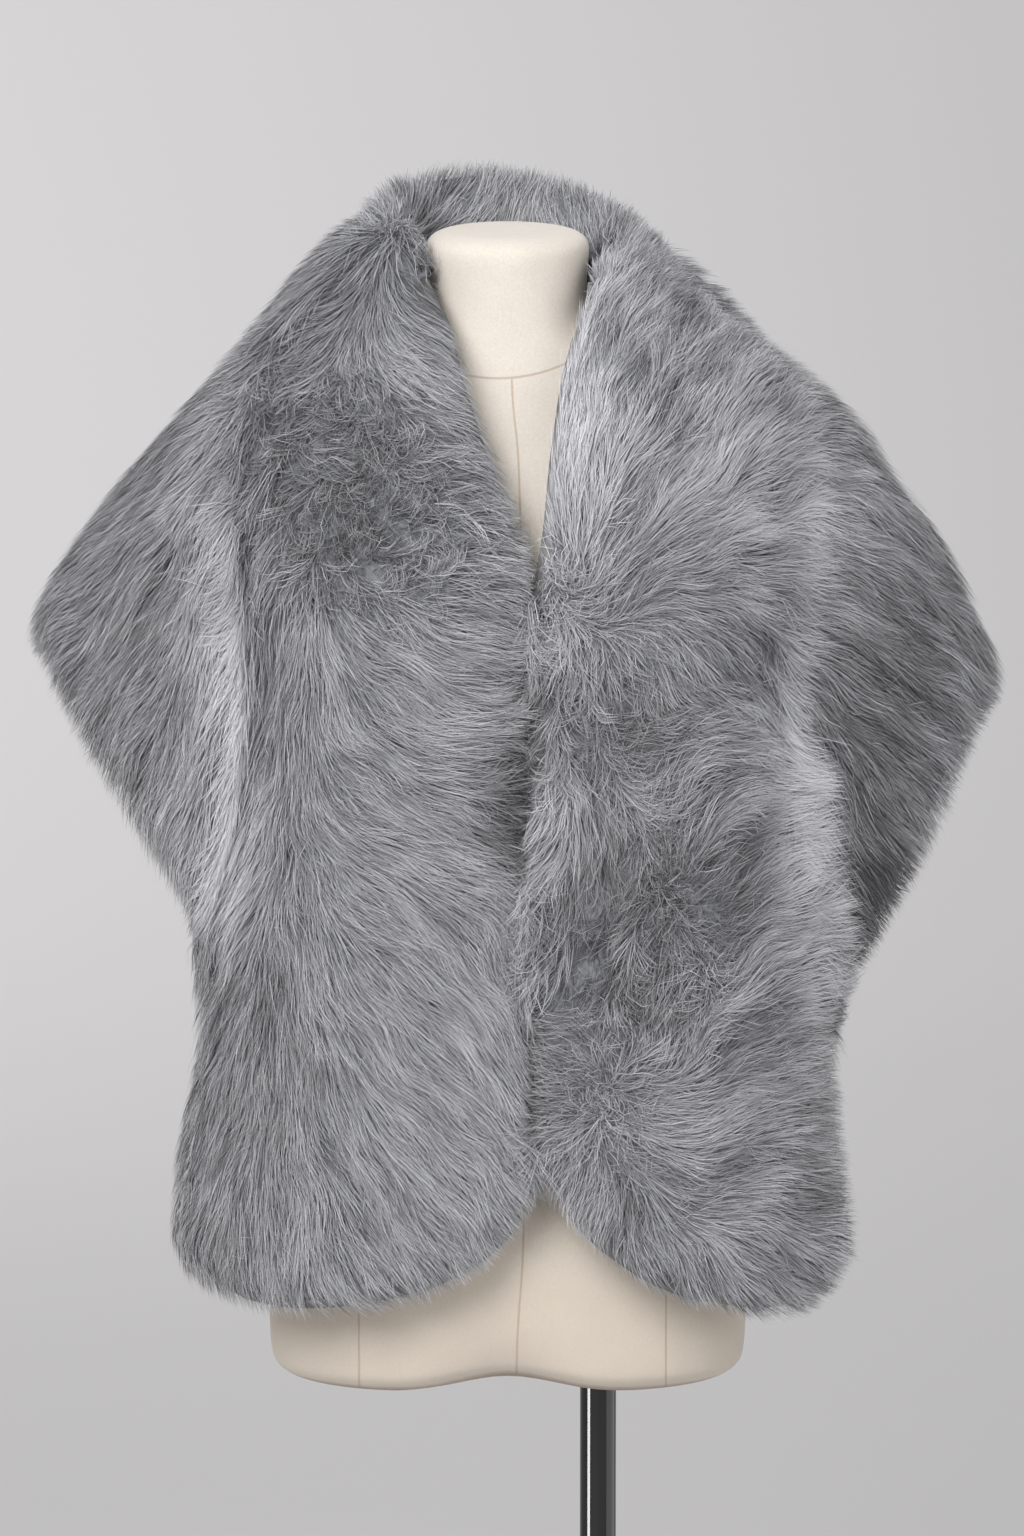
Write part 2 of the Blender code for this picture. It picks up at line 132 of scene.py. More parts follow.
SEAM_LINE = 0.45 * MM  # half width of the dark line where two panels meet
SEAM_SOFT = 0.5 * MM
SEAM_SHADE = 0.55
SEAM_RISE = -3.0  # in heights of the nap
NECK_SEAM = (1433 * MM, -56 * MM, 0.45)  # height at the front, depth there, and rise to the back
NECK_SEAM_BOW = (3.4, 0.05)  # its rise to both sides, per metre squared, and its slant
SIDE_SEAMS = (-103 * MM, 110 * MM)
FRONT_SEAM = ((757, 6.5), (849, 11), (1367, 8), (1434, 3))  # height and sideways place, in mm
FRONT_SEAM_SPAN = (700, 1500, -20, 20)  # heights and places that its curve can reach, in mm
# How far a point is from the nearest seam, in steps: a step's name, its operation, and the two
# values it works on. Above the neck seam a metre is added, because no front seam runs there.
SEAM_STEPS = (
    ("across", "SUBTRACT", "x", FORM_MIDDLE),
    ("above neck", "GREATER_THAN", "z", NECK_SEAM[0]),
    ("front", "SUBTRACT", "across", "front seam"),
    ("front", "ADD", "front", "above neck"),
    ("nearest", "ABSOLUTE", "front", 0.0),
    ("right", "SUBTRACT", "across", SIDE_SEAMS[0]),
    ("right", "ABSOLUTE", "right", 0.0),
    ("nearest", "MINIMUM", "nearest", "right"),
    ("left", "SUBTRACT", "across", SIDE_SEAMS[1]),
    ("left", "ABSOLUTE", "left", 0.0),
    ("nearest", "MINIMUM", "nearest", "left"),
    ("bow", "MULTIPLY", "across", NECK_SEAM_BOW[0]),
    ("bow", "ADD", "bow", NECK_SEAM_BOW[1]),
    ("bow", "MULTIPLY", "bow", "across"),
    ("rise", "SUBTRACT", "y", NECK_SEAM[1]),
    ("rise", "MULTIPLY", "rise", NECK_SEAM[2]),
    ("rise", "ADD", "rise", "bow"),
    ("neck", "SUBTRACT", "z", NECK_SEAM[0]),
    ("neck", "SUBTRACT", "neck", "rise"),
    ("neck", "ABSOLUTE", "neck", 0.0),
    ("nearest", "MINIMUM", "nearest", "neck"),
)
NAP_FLECK = 1.4286 * MM  # coarser than real nap, which is too fine to show
NAP_CLOUD = 28.571 * MM
NAP_HEIGHT = 0.3 * MM
UNDER_FUR_SHADE_HEIGHTS = (0.92, 0.80)  # where the painted shade under the fur starts, and where it is darkest
UNDER_FUR_SHADE_MOST = 0.5
UNDERSIDE = (-0.8, -0.97)  # upward share of the surface's direction where it turns under
COTTON_SHADES = ((0.3, "#C9C0B5"), (0.7, "#D7CFC5"))


def brushed_cotton():
    """Cream brushed cotton: matte, with a felt-like fleck about a millimetre across.

    Its seams are fine sunk lines: one round the neck, one down the middle and two at the sides.
    Low down, under the fur, it is darkened to a warmer tone as painted shade, and it is brown
    underneath.
    """
    cotton, tree = new_material("cream brushed cotton")
    place = add_node(tree, "ShaderNodeTexCoord").outputs["Object"]
    x, y, z = add_node(tree, "ShaderNodeSeparateXYZ", _0=place).outputs

    low, high, left, right = FRONT_SEAM_SPAN
    up = add_node(tree, "ShaderNodeMapRange", Value=z, From_Min=low * MM, From_Max=high * MM)
    bend = add_node(tree, "ShaderNodeFloatCurve", Value=up.outputs[0])
    curve = bend.mapping.curves[0]
    ends = ((low, FRONT_SEAM[0][1]), (high, FRONT_SEAM[-1][1]))
    for point, (height, across) in zip(curve.points, ends):
        point.location = ((height - low) / (high - low), (across - left) / (right - left))
    for height, across in FRONT_SEAM:
        curve.points.new((height - low) / (high - low), (across - left) / (right - left))
    bend.mapping.update()
    front_seam = add_node(
        tree, "ShaderNodeMapRange", Value=bend.outputs[0], To_Min=left * MM, To_Max=right * MM
    )
    value = {"x": x, "y": y, "z": z, "front seam": front_seam.outputs[0]}
    for name, operation, first, second in SEAM_STEPS:
        value[name] = add_node(
            tree,
            "ShaderNodeMath",
            {"operation": operation},
            _0=value.get(first, first),
            _1=value.get(second, second),
        ).outputs[0]
    seam = add_node(
        tree,
        "ShaderNodeMapRange",
        {"interpolation_type": "SMOOTHSTEP"},
        Value=value["nearest"],
        From_Min=SEAM_LINE,
        From_Max=SEAM_LINE + SEAM_SOFT,
        To_Min=1.0,
        To_Max=0.0,
    )

    fleck = add_node(tree, "ShaderNodeTexNoise", Vector=place, Scale=1 / NAP_FLECK, Detail=3.0)
    cloud = add_node(tree, "ShaderNodeTexNoise", Vector=place, Scale=1 / NAP_CLOUD, Detail=2.0)
    both = add_node(
        tree,
        "ShaderNodeMix",
        {"data_type": "FLOAT"},
        _0=0.3,
        _2=fleck.outputs[0],
        _3=cloud.outputs[0],
    )
    tone = add_node(tree, "ShaderNodeValToRGB", _0=both.outputs[0])
    for stop, (position, colour) in zip(tone.color_ramp.elements, COTTON_SHADES):
        stop.position = position
        stop.color = linear(colour)
    # Painted shade: below the fur's hem the cover turns darker and warmer, where the fur shades
    # it.
    painted_shade_low = add_node(
        tree,
        "ShaderNodeMapRange",
        Value=z,
        From_Min=UNDER_FUR_SHADE_HEIGHTS[0],
        From_Max=UNDER_FUR_SHADE_HEIGHTS[1],
        To_Max=UNDER_FUR_SHADE_MOST,
    )
    stitched = add_node(
        tree, "ShaderNodeMath", {"operation": "MULTIPLY"}, _0=seam.outputs[0], _1=SEAM_SHADE
    )
    facing = add_node(tree, "ShaderNodeNewGeometry").outputs["Normal"]
    tilt = add_node(tree, "ShaderNodeSeparateXYZ", _0=facing)
    facing_down = add_node(
        tree,
        "ShaderNodeMapRange",
        Value=tilt.outputs[2],
        From_Min=UNDERSIDE[0],
        From_Max=UNDERSIDE[1],
    )
    colour = tone.outputs[0]
    for share, shade in ((painted_shade_low, "#B9AB98"), (stitched, "#A38C74"), (facing_down, "#8F765C")):
        mixed = add_node(
            tree,
            "ShaderNodeMix",
            {"data_type": "RGBA"},
            _0=share.outputs[0],
            _6=colour,
            _7=linear(shade),
        )
        colour = mixed.outputs[2]
    sunk = add_node(
        tree,
        "ShaderNodeMath",
        {"operation": "MULTIPLY_ADD"},
        _0=seam.outputs[0],
        _1=SEAM_RISE,
        _2=fleck.outputs[0],
    )
    nap = add_node(
        tree, "ShaderNodeBump", Strength=0.3, Distance=NAP_HEIGHT, Height=sunk.outputs[0]
    )
    cloth = add_node(
        tree,
        "ShaderNodeBsdfPrincipled",
        Base_Color=colour,
        Roughness=0.9,
        Sheen_Weight=0.15,
        Sheen_Roughness=0.6,
        Normal=nap.outputs[0],
    )
    add_node(tree, "ShaderNodeOutputMaterial", Surface=cloth.outputs[0])
    return cotton


form = shown("form_cover", smooth_copy("dress_form", FORM_DETAIL), brushed_cotton())
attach(form, "root")
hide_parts("dress_form")

# ---------------------------------------------------------------------------------------------
# Stand. A steel pole that stands in a round base, both in gloss black lacquer. They keep the
# solids' own meshes.
# ---------------------------------------------------------------------------------------------


def black_lacquer():
    """Gloss black lacquer, mirror smooth, so that it shows as bright and dark upright bands."""
    lacquer, tree = new_material("gloss black lacquer")
    gloss = add_node(
        tree, "ShaderNodeBsdfPrincipled", Base_Color=linear("#070708"), Roughness=0.05
    )
    add_node(tree, "ShaderNodeOutputMaterial", Surface=gloss.outputs[0])
    return lacquer


lacquer = black_lacquer()
for node in ("pole", "base_plate"):
    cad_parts[node].data.materials.clear()
    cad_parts[node].data.materials.append(lacquer)

# ---------------------------------------------------------------------------------------------
# Pelts. Each piece of the wrap is a soft skin, bare suede inside, under dense short underfur.
# All that shows of it is a shade between the long hairs. The pieces are sewn edge to edge.
# ---------------------------------------------------------------------------------------------

UNDERFUR_DEPTH = 11 * MM  # from the hair tips down to the top of the underfur
DEPTH_SHARE = 0.4  # of the wall, where it is thin
COLLAR_SHARE = 0.28  # furred on both sides
SEWN_GAP = 1.5 * MM  # faces of two pieces nearer than this are sewn together
WALL_START = 0.2 * MM  # where a ray through the wall sets out
WALL_MOST = 60 * MM
CHEST = np.array((FORM_MIDDLE, 0, 1300 * MM))
HAIR_STARTS = -0.45  # cosine from the way out of the body at which the hair side starts
HAIR_FADES = 0.3  # how much more it takes until the hair side is full
HAIRY = 0.5  # share of that from which a face grows hair
PELT_DETAIL = 1
SEAM_TURN = math.radians(50)  # where the hair side turns into a sewn edge
SIDES = ((0, 1), (1, 2), (2, 0), (1, 0), (2, 1), (0, 2))  # of a triangle, both ways
# Width, length and area of what shows of each piece, laid flat, in metres.
CUT = {
    "collar": (0.10, 0.44, 0.034),
    "front_right": (0.26, 0.74, 0.152),
    "front_left": (0.24, 0.74, 0.136),
    "wing_right": (0.24, 0.50, 0.086),
    "wing_left": (0.26, 0.54, 0.096),
    "back": (0.47, 0.60, 0.212),
}


def arrays_of(mesh):
    """A mesh's points and triangles."""
    points = np.empty(len(mesh.vertices) * 3)
    mesh.vertices.foreach_get("co", points)
    mesh.calc_loop_triangles()
    corners = np.empty(len(mesh.loop_triangles) * 3, int)
    mesh.loop_triangles.foreach_get("vertices", corners)
    return points.reshape(-1, 3), corners.reshape(-1, 3)


def unit(vectors):
    """Vectors made one long."""
    return vectors / np.maximum(np.linalg.norm(vectors, axis=-1, keepdims=True), 1e-9)


def facing_out(points, normals):
    """Cosine between each normal and the way out from the chest, or below that from the axis."""
    middle = np.repeat(CHEST[None, :], len(points), axis=0)
    middle[:, 2] = np.minimum(points[:, 2], CHEST[2])
    return (unit(points - middle) * normals).sum(axis=1)


def reaches(tree, points, ways, start, far):
    """How far a ray from each point goes before it meets the tree, or far."""
    found = np.full(len(points), far)
    for k, (point, way) in enumerate(zip(points, ways)):
        hit = tree.ray_cast(Vector(point + way * start), Vector(way), far)[3]
        if hit is not None:
            found[k] = hit
    return found


def mottled(name, size, detail, shades, roughness):
    """A matte finish without gloss, mottled between two shades in patches of this size."""
    made, tree = new_material(name)
    place = add_node(tree, "ShaderNodeTexCoord").outputs["Object"]
    mottle = add_node(tree, "ShaderNodeTexNoise", Vector=place, Scale=1 / size, Detail=detail)
    tone = add_node(tree, "ShaderNodeValToRGB", _0=mottle.outputs[0])
    for stop, position, colour in zip(tone.color_ramp.elements, (0.35, 0.65), shades):
        stop.position = position
        stop.color = linear(colour)
    matte = add_node(
        tree, "ShaderNodeBsdfPrincipled", Base_Color=tone.outputs[0], Roughness=roughness
    )
    add_node(tree, "ShaderNodeOutputMaterial", Surface=matte.outputs[0])
    return made


# Dense underfur: soft and dull, in fine darker and lighter flecks.
underfur = mottled("blue grey underfur", 3.8462 * MM, 2.0, ("#67686C", "#828388"), 1.0)
# The dressed skin side of the pelt: flat suede with a faint mottle.
suede = mottled("grey suede skin", 16.667 * MM, 4.0, ("#7C7B7C", "#8A898A"), 0.95)
solids = {node: smooth_copy(node, PELT_DETAIL, SEAM_TURN) for node in CUT}
shapes = {node: arrays_of(mesh) for node, mesh in solids.items()}
tip_points, tip_triangles, sewn_places, pelts = [], [], [], {}

for node, (points, triangles) in shapes.items():
    # Which faces are sewn to another piece, and which of the others are on the hair side.
    centres = points[triangles].mean(axis=1)
    a, b, c = (points[triangles[:, k]] for k in range(3))
    ways = unit(np.cross(b - a, c - a))
    sewn = np.zeros(len(triangles), bool)
    for other, (other_points, other_triangles) in shapes.items():
        if other != node:
            near = BVHTree.FromPolygons(other_points.tolist(), other_triangles.tolist())
            sewn |= reaches(near, centres, ways, 0.0, SEWN_GAP) < SEWN_GAP
    if node == "collar":
        out = np.ones(len(triangles))
    else:
        out = np.clip((facing_out(centres, ways) - HAIR_STARTS) / HAIR_FADES, 0, 1)
    out[sewn] = 0

    # The way in which hair lifts off each point, in the seam's plane where there is a seam.
    weight = out * np.linalg.norm(np.cross(b - a, c - a), axis=1)
    lift = np.zeros_like(points)
    share = np.zeros(len(points))
    seam_way = np.zeros_like(points)
    for k in range(3):
        np.add.at(lift, triangles[:, k], ways * weight[:, None])
        np.add.at(share, triangles[:, k], out)
        np.add.at(seam_way, triangles[sewn, k], ways[sewn])
    lift = unit(lift)
    seam_way = unit(seam_way)
    lift = unit(lift - (lift * seam_way).sum(axis=1, keepdims=True) * seam_way)

    # How thick the wall is. A ray from a sewn edge would run along the sewn face, so such an
    # edge takes the widest wall beside it.
    own = BVHTree.FromPolygons(points.tolist(), triangles.tolist())
    wall = reaches(own, points, -lift, WALL_START, WALL_MOST)
    widest = wall.copy()
    for start, end in SIDES:
        np.maximum.at(widest, triangles[:, start], wall[triangles[:, end]])
    at_edge = np.unique(triangles[sewn])
    wall[at_edge] = widest[at_edge]

    most = COLLAR_SHARE if node == "collar" else DEPTH_SHARE
    inset = np.minimum(UNDERFUR_DEPTH, wall * most) * np.clip(share, 0, 1)
    pelt_points = points - lift * inset[:, None]
    solids[node].vertices.foreach_set("co", pelt_points.ravel())
    solids[node].update()
    hairy = out > HAIRY
    pelt = shown("pelt_" + node, solids[node], underfur)
    pelt.data.materials.append(suede)
    faces = np.empty(len(triangles), int)
    pelt.data.calc_loop_triangles()
    pelt.data.loop_triangles.foreach_get("polygon_index", faces)
    bare = np.ones(len(pelt.data.polygons), int)
    bare[faces[hairy]] = 0
    pelt.data.polygons.foreach_set("material_index", bare)
    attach(pelt, "root")
    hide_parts(node)
    sewn_places.append(centres[sewn])
    pelts[node] = (pelt_points, lift, triangles[hairy])
    tip_triangles.append(triangles[hairy] + sum(len(part) for part in tip_points))
    tip_points.append(points)

sewn_places = np.concatenate(sewn_places)
seam_tree = KDTree(len(sewn_places))
for k, place in enumerate(sewn_places):
    seam_tree.insert(place, k)
seam_tree.balance()
fur_top = BVHTree.FromPolygons(
    np.concatenate(tip_points).tolist(), np.concatenate(tip_triangles).tolist()
)

# ---------------------------------------------------------------------------------------------
# Long hair. Guard hairs about 5 cm long, dark at the root and pale at the tip, combed flat on
# the pelt; the dark roots are partly the hair's own colour and partly painted shade deep between
# the locks. Each is a narrow tapered ribbon. Neighbours draw together at their tips into locks.
# ---------------------------------------------------------------------------------------------

HAIR_LEVELS = np.array((0.0, 0.38, 0.72, 1.0))
HAIR_WIDTHS = np.array((0.50, 0.36)) * MM  # at the two middle levels; both ends are points
HAIR_CORNERS = 6  # root, left and right at the two middle levels, tip
HAIR_PATTERN = np.array(((0, 3, 1), (1, 3, 4), (1, 4, 2), (2, 4, 5)))
CORNER_LEVELS = (0, 1, 2, 1, 2, 3)
THICKNESS = (0.7, 1.2)
LENGTHS = (0.75, 1.15)
ROOT_BACK = 0.35  # of its length, how far back against the comb a hair starts
ROOT_DEPTH = 2 * MM  # under the top of the underfur
RISE = 1.3  # how late along its length a hair rises to the fur's top
LOCK_HAIRS = 9
LOCK_PULL = (0.1, 0.5)  # share of the way to the lock's middle hair, at the tip
LOCK_CURVE = 1.5
LOCK_EDGE = 0.8  # how much looser a lock is where its hair points past an edge
TUFT_HAIRS = 90
STRAY_SHARE = 0.05
STRAY_THIN = 0.6
STRAY_HEIGHT = 4 * MM
SHORT_SHARE = 0.18
SHORT_LENGTH = 0.45
SHORT_UNRULY = 0.5  # more short hair where the comb's guides disagree
SHORT_LOWER = 3 * MM
MATTED_SHORTER = 0.35
# How far a tip lies over the fur's top, on its own and by ridge, and how much tips differ.
TIP_HEIGHT = -1 * MM
TIP_RIDGE = 2.4 * MM
TIP_SPREAD = 1 * MM
RIDGE_LENGTH = 26 * MM
FINE_LENGTH = 8 * MM
STREAK_STEPS = 7
STREAK_STEP = 6 * MM
WAVE_COUNT = 16
TUFT_MOST = 1.8
TUFT_HEIGHT = (0.25, 0.85)  # on smooth hair, and more where it is matted
# Spread of the turn away from the comb, and of the curl, in radians.
TURN_TUFT = 0.10
TURN_HAIR = 0.10
TURN_CROSSING = 0.3
TURN_MATTED = 0.7
TURN_SHORT = 0.9
CURL_MATTED = 0.8
CURL_HAIR = 0.08
WAVE = (0.12, 50 * MM)  # turn in radians, and length
LOOSER = 2  # how much more a hair turns where the comb's guides disagree
ROOT_HOLD = 0.3  # how much a level keeps of the root's surface direction
DRAWN_IN = 9 * MM  # the most a level is moved towards the fur's top from above, and from below
DRAWN_OUT = 16 * MM
FRINGE = 9 * MM  # as far as hair stands past the edge of the solid
FRINGE_SPREAD = (0.2, 1)
CUT_BACK = (1.2, 0.8)  # of a hair's part past the fringe, and the most of its whole length
SEAM_WIDE = 20 * MM  # of the hair that a seam changes
SEAM_OVER = 0.85  # share of the hair at a seam that starts beyond it, and so lies over it
SEAM_ROOT = 4 * MM  # how deep that hair starts
SEAM_PAST = (0.5, 1)  # how far it is moved, in shares of the way to the seam
SEAM_BACK = (0, 0.55)  # and in shares of its length, against the comb
# Openings that no hair crosses, at the neck and between the two hems: middle, half width, foot and
# top, and share of the fringe that stands into them.
NECK_OPENING = (-8 * MM, 68 * MM, 1290 * MM, 1700 * MM, 1.0)
HEM_OPENING = (21 * MM, 48 * MM, 780 * MM, 905 * MM, 0.4)
COMB_REACH = 24 * MM  # of one guide of the comb
EDGE_OUT = 0.7  # how much hair stands off an edge that it points past, and bends back behind it
EDGE_BACK = 0.25
BACK_STARTS = 0.3  # backward share of the surface's direction where the fan behind takes over
BACK_FULL = 0.7
BACK_PUSH = 1.5  # how much hair points backwards between the two
BACK_SPREAD = 330 * MM  # this far from the middle, hair on the back runs out at 45 degrees
# Tone of a hair, from 0 for dark to 1 for pale, and how much each cause changes it. Some of the
# causes are painted light and shade.
TONE_STEPS = 48
TONE_MIDDLE = 0.5
# Painted light: hair that stands higher is paler, and hair in the hollows darker.
TONE_HIGH_PAINTED_LIGHT = 0.07
TONE_BROAD = (0.03, 60 * MM)  # and its length
TONE_FINE = 0.04
TONE_LOCK = 0.08
TONE_HAIR = 0.19
# Painted light: hair lying over a seam is paler, lifting the shade in the seam's valley.
SEAM_PAINTED_LIGHT = 0.08
TONE_EVEN = (1.4, 0.5)  # hair is even in tone where highlights are painted on the rolled edges
# How far a ribbon is rolled about its length, how much the body's round form turns it, and the
# shares of the fur's surface, that form, its own edges and chance in its shading.
ROLL = 0.7
FACE_OUT = 0.35
SHADE_SURFACE = 0.6
SHADE_BODY = 0.5
SHADE_SPREAD = 0.5
SHADE_LEAN = 0.15
# Partly painted shade: the roots are darker than the hair's own colour, deepening the shade
# between locks.
HAIR_SHADES = ((0.0, "#77777B"), (0.5, "#A5A5A9"), (1.0, "#D0D0D3"))  # from root to tip
HAIR_STRENGTH = (0.14, 1.26)  # of the darkest and of the palest hair's colour
rng = np.random.default_rng(7)

# Matted and worn places, darker, and painted light and shade: highlights painted on the rolled
# outer edges of the fronts and on a lapel, and painted shade on the left wing and in a crease.
# Columns: x and height of the middle, half width and half height in mm, change of tone, how
# matted it is, and how much higher its hair stands in mm.
PATCH_TONE_AND_LIGHT, PATCH_MATTED, PATCH_HIGHER = 4, 5, 6
FRONT_FADE = 60 * MM  # depth over which the patches fade out towards the back
PATCHES = np.array(
    (
        (-112, 1384, 52, 56, -0.30, 0.7, 0),
        (-138, 1440, 40, 40, -0.14, 0.5, 0),
        (-92, 1318, 44, 30, -0.20, 0.6, 0),
        (-75, 1335, 40, 40, -0.06, 0.4, 0),
        (-17, 1162, 27, 50, -0.42, 0.3, 0),
        (60, 1220, 62, 44, -0.26, 0.6, 0),
        (20, 1230, 14, 24, -0.14, 0.3, 0),
        (26, 1275, 24, 46, -0.12, 0.2, 0),
        (88, 1075, 50, 66, -0.36, 0.5, 0),
        (104, 1450, 40, 60, -0.12, 0.2, -2),
        (62, 952, 22, 44, -0.16, 0.4, -2),
        (-154, 1149, 15, 130, -0.12, 0.0, 0),
        (228, 1220, 48, 80, -0.22, 0.0, 0),
        (234, 1085, 42, 65, -0.50, 0.0, 0),
        (262, 1250, 60, 90, -0.10, 0.0, 0),
        (-60, 1040, 70, 160, 0.03, 0.0, 0),
        (48, 1470, 26, 130, 0.28, 0.0, 0),
        (100, 1455, 60, 70, 0.04, 0.0, 0),
        (140, 1345, 62, 40, 0.30, 0.0, 0),
        (-185, 1310, 22, 70, 0.20, 0.0, 8),
        (-176, 1240, 18, 45, 0.42, 0.0, 6),
        (-167, 1175, 15, 45, 0.46, 0.0, 3),
        (-180, 1105, 15, 45, 0.44, 0.0, 0),
        (-178, 1130, 24, 50, 0.28, 0.0, 0),
        (182, 1120, 24, 60, 0.30, 0.0, 0),
        (34, 1400, 12, 100, 0.25, 0.0, 0),
        (168, 1200, 15, 50, 0.50, 0.0, 6),
        (178, 1120, 15, 55, 0.60, 0.0, 5),
        (194, 1030, 15, 50, 0.50, 0.0, 2),
    )
)


def guard_hair():
    """Long guard hair: soft satin, its tone set by u across the map and its root to tip by v."""
    hair, tree = new_material("blue grey guard hair")
    along = add_node(tree, "ShaderNodeUVMap", {"uv_map": "OFBake"}).outputs[0]
    split = add_node(tree, "ShaderNodeSeparateXYZ", _0=along)
    root_to_tip = add_node(tree, "ShaderNodeValToRGB", _0=split.outputs["Y"])
    root_to_tip.color_ramp.elements.new(HAIR_SHADES[1][0])
    for stop, (position, colour) in zip(root_to_tip.color_ramp.elements, HAIR_SHADES):
        stop.position = position
        stop.color = linear(colour)
    tone = add_node(
        tree,
        "ShaderNodeMapRange",
        Value=split.outputs["X"],
        To_Min=HAIR_STRENGTH[0],
        To_Max=HAIR_STRENGTH[1],
    )
    coloured = add_node(
        tree,
        "ShaderNodeVectorMath",
        {"operation": "SCALE"},
        _0=root_to_tip.outputs[0],
        Scale=tone.outputs[0],
    )
    satin = add_node(
        tree,
        "ShaderNodeBsdfPrincipled",
        Base_Color=coloured.outputs[0],
        Roughness=0.6,
        Specular_IOR_Level=0.25,
    )
    add_node(tree, "ShaderNodeOutputMaterial", Surface=satin.outputs[0])
    return hair


guard_hair_finish = guard_hair()


def patch_share(points, column):
    """The sum over the patches of a column, each fading as exp(-(distance / half size) cubed)."""
    x = (points[:, 0, None] - FORM_MIDDLE) / MM - PATCHES[None, :, 0]
    z = points[:, 2, None] / MM - PATCHES[None, :, 1]
    far = (x / PATCHES[None, :, 2]) ** 2 + (z / PATCHES[None, :, 3]) ** 2
    front = np.clip(0.5 - points[:, 1] / FRONT_FADE, 0, 1)
    return (np.exp(-(far**1.5)) @ PATCHES[:, column]) * front


def waves(points, length, seed):
    """Smooth noise of unit spread: some sine waves about this long, in random directions."""
    roll = np.random.default_rng(seed)
    way = unit(roll.normal(size=(WAVE_COUNT, 3))) * 2 * math.pi / length
    way = way * roll.uniform(0.6, 1.4, (WAVE_COUNT, 1))
    crests = np.sin(points @ way.T + roll.uniform(0, 2 * math.pi, WAVE_COUNT))
    return crests.sum(axis=1) * math.sqrt(2 / WAVE_COUNT)


def combed(table):
    """Guides as places and unit arrows in the plane of the front, from rows of (x, angle)."""
    rows = [(x, height, angle) for height, row in table for x, angle in row]
    x, height, angle = np.array(rows, float).T
    places = np.stack([FORM_MIDDLE + x * MM, height * MM], axis=1)
    arrows = np.stack([np.cos(np.radians(angle)), np.sin(np.radians(angle))], axis=1)
    return places, arrows


def comb_field(points, guides):
    """Direction at each point, and how well the guides agree there, from 0 to 1.

    It is the sum of the guides' arrows, each weighted by exp(-(distance / reach) squared).
    """
    places, arrows = guides
    total = np.empty((len(points), 2))
    for start in range(0, len(points), 20000):  # in parts, to save memory
        part = points[start : start + 20000, ::2]
        far = ((part[:, None, :] - places[None]) ** 2).sum(axis=2) / COMB_REACH**2
        weight = np.exp(far.min(axis=1, keepdims=True) - far)
        total[start : start + 20000] = weight @ arrows / weight.sum(axis=1, keepdims=True)
    agree = np.linalg.norm(total, axis=1)
    flat = total / np.maximum(agree, 1e-6)[:, None]
    return np.stack([flat[:, 0], np.zeros(len(points)), flat[:, 1]], axis=1), agree


def laid_on(direction, normals):
    """Directions laid on the surface, and how far each leaves it, from 0 to 1, past an edge."""
    out = (direction * normals).sum(axis=1, keepdims=True)
    leaving = np.clip(out, 0, 1)
    off_edge = EDGE_OUT * normals + np.array((0, EDGE_BACK, 0))
    return unit(direction - out * normals + leaving * off_edge), leaving[:, 0]


def streaks(points, normals, direction_at, length, seed):
    """Noise smeared along the comb, of unit spread: its sum over some steps each way."""
    total = waves(points, length, seed)
    for way_back in (-1, 1):
        here = points
        for _ in range(STREAK_STEPS):
            here = here + way_back * direction_at(here, normals)[0] * STREAK_STEP
            total = total + waves(here, length, seed)
    return total / total.std()


def beside(opening, points):
    """Which points on the front lie in or beside an opening."""
    middle, half, foot, top, _ = opening
    near = np.abs(points[:, 0] - FORM_MIDDLE - middle) < half
    return near & (points[:, 2] > foot) & (points[:, 2] < top) & (points[:, 1] < 0)


def turned(vectors, axis, angle):
    """Vectors turned about unit axes they are square to."""
    cos, sin = np.cos(angle)[:, None], np.sin(angle)[:, None]
    return vectors * cos + np.cross(axis, vectors) * sin


def gathered(places, hairs):
    """The middle hairs of groups of about this many, and for each hair the number of its group."""
    middles = rng.choice(len(places), max(len(places) // hairs, 1), replace=False)
    tree = KDTree(len(middles))
    for k, hair in enumerate(middles):
        tree.insert(places[hair], k)
    tree.balance()
    return middles, np.array([tree.find(place)[1] for place in places])


def rooted(node, direction_at, count, length):
    """Roots on a pelt with their normals, lengths, nearness to a seam, and whether they cross it.

    Places are spread evenly over the triangles that grow hair, and each root lies a little way
    back against the comb from its place, so that partings are covered.
    """
    pelt_points, lift, chosen = pelts[node]
    a, b, c = (pelt_points[chosen[:, k]] for k in range(3))
    area = np.linalg.norm(np.cross(b - a, c - a), axis=1)
    pick = rng.choice(len(chosen), count, p=area / area.sum())
    u, v = rng.random(count), rng.random(count)
    over = u + v > 1
    u[over], v[over] = 1 - u[over], 1 - v[over]
    share = np.stack([1 - u - v, u, v], axis=1)[..., None]
    root = (pelt_points[chosen[pick]] * share).sum(axis=1)
    normal = unit((lift[chosen[pick]] * share).sum(axis=1))

    long = length * rng.uniform(*LENGTHS, count)
    seam_place = np.empty_like(root)
    seam_far = np.empty(count)
    for k, place in enumerate(root):
        seam_place[k], _, seam_far[k] = seam_tree.find(place)
    at_seam = np.exp(-((seam_far / SEAM_WIDE) ** 2))
    crossing = (rng.random(count) < SEAM_OVER * at_seam) & ~beside(HEM_OPENING, root)
    way, _, leaving = direction_at(root, normal)
    way *= (long * (1 - leaving))[:, None]
    own_skin = BVHTree.FromPolygons(pelt_points.tolist(), chosen.tolist())
    for k, place in enumerate(root - way * ROOT_BACK):
        root[k] = own_skin.find_nearest(Vector(place))[0]
    for k in np.flatnonzero(crossing):
        past_seam = (seam_place[k] - root[k]) * rng.uniform(*SEAM_PAST)
        beyond = root[k] + past_seam - way[k] * rng.uniform(*SEAM_BACK)
        place, normal[k] = fur_top.find_nearest(Vector(beyond))[:2]
        root[k] = np.array(place) - normal[k] * SEAM_ROOT
    return root, normal, long, at_seam, crossing


